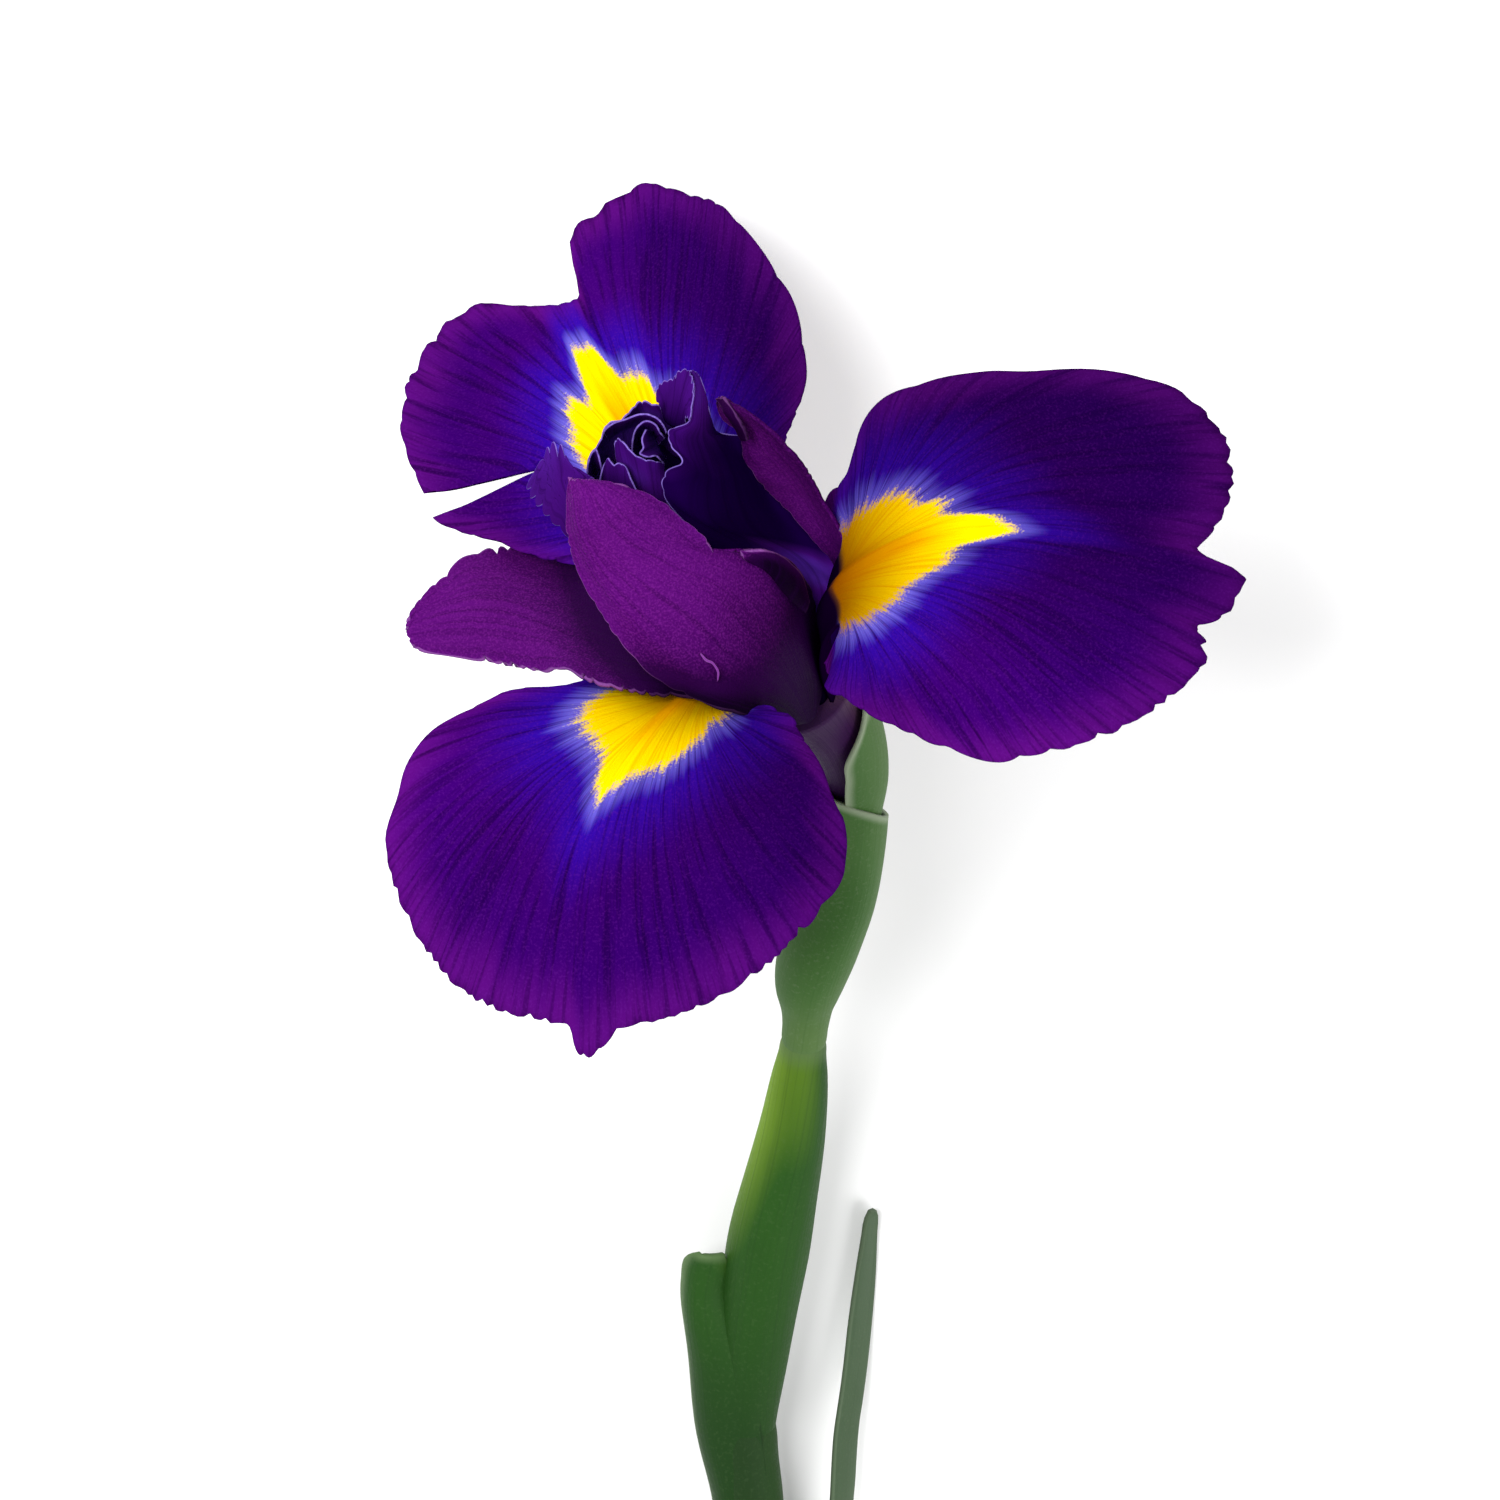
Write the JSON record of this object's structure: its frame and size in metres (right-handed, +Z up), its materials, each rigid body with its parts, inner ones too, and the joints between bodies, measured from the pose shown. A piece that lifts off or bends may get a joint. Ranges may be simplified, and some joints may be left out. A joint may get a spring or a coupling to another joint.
{
  "type": "cut iris flower",
  "caption": "Cut iris bloom lying on its side: broad drooping violet falls with yellow signals, upright standards, crested style arms, green stem with sheathing leaves.",
  "frame": {"origin": "on the surface the flower lies on, under the middle of its bounding box", "axes": "+Z up, +Y along the stem from its cut end towards the bloom, +X to the right seen from above with the bloom away from the viewer"},
  "size_m": [0.0922, 0.2556, 0.0919],
  "materials": {
    "petal_fall": "matte",
    "petal_standard": "matte",
    "style_crest": "matte",
    "tube": "matte",
    "stem": "satin",
    "spathe": "satin",
    "leaf": "satin"
  },
  "bodies": {
    "root": {"fall_front_left": "petal_fall", "fall_right": "petal_fall", "fall_back": "petal_fall", "standard_front": "petal_standard", "standard_left": "petal_standard", "standard_right": "petal_standard", "style_arm_front": "style_crest", "style_arm_right": "style_crest", "style_arm_back": "style_crest", "perianth_tube": "tube", "stem": "stem", "spathe_outer": "spathe", "spathe_inner": "spathe", "sheath_leaf": "leaf", "left_leaf": "leaf", "right_leaf": "leaf"}
  },
  "joints": []
}
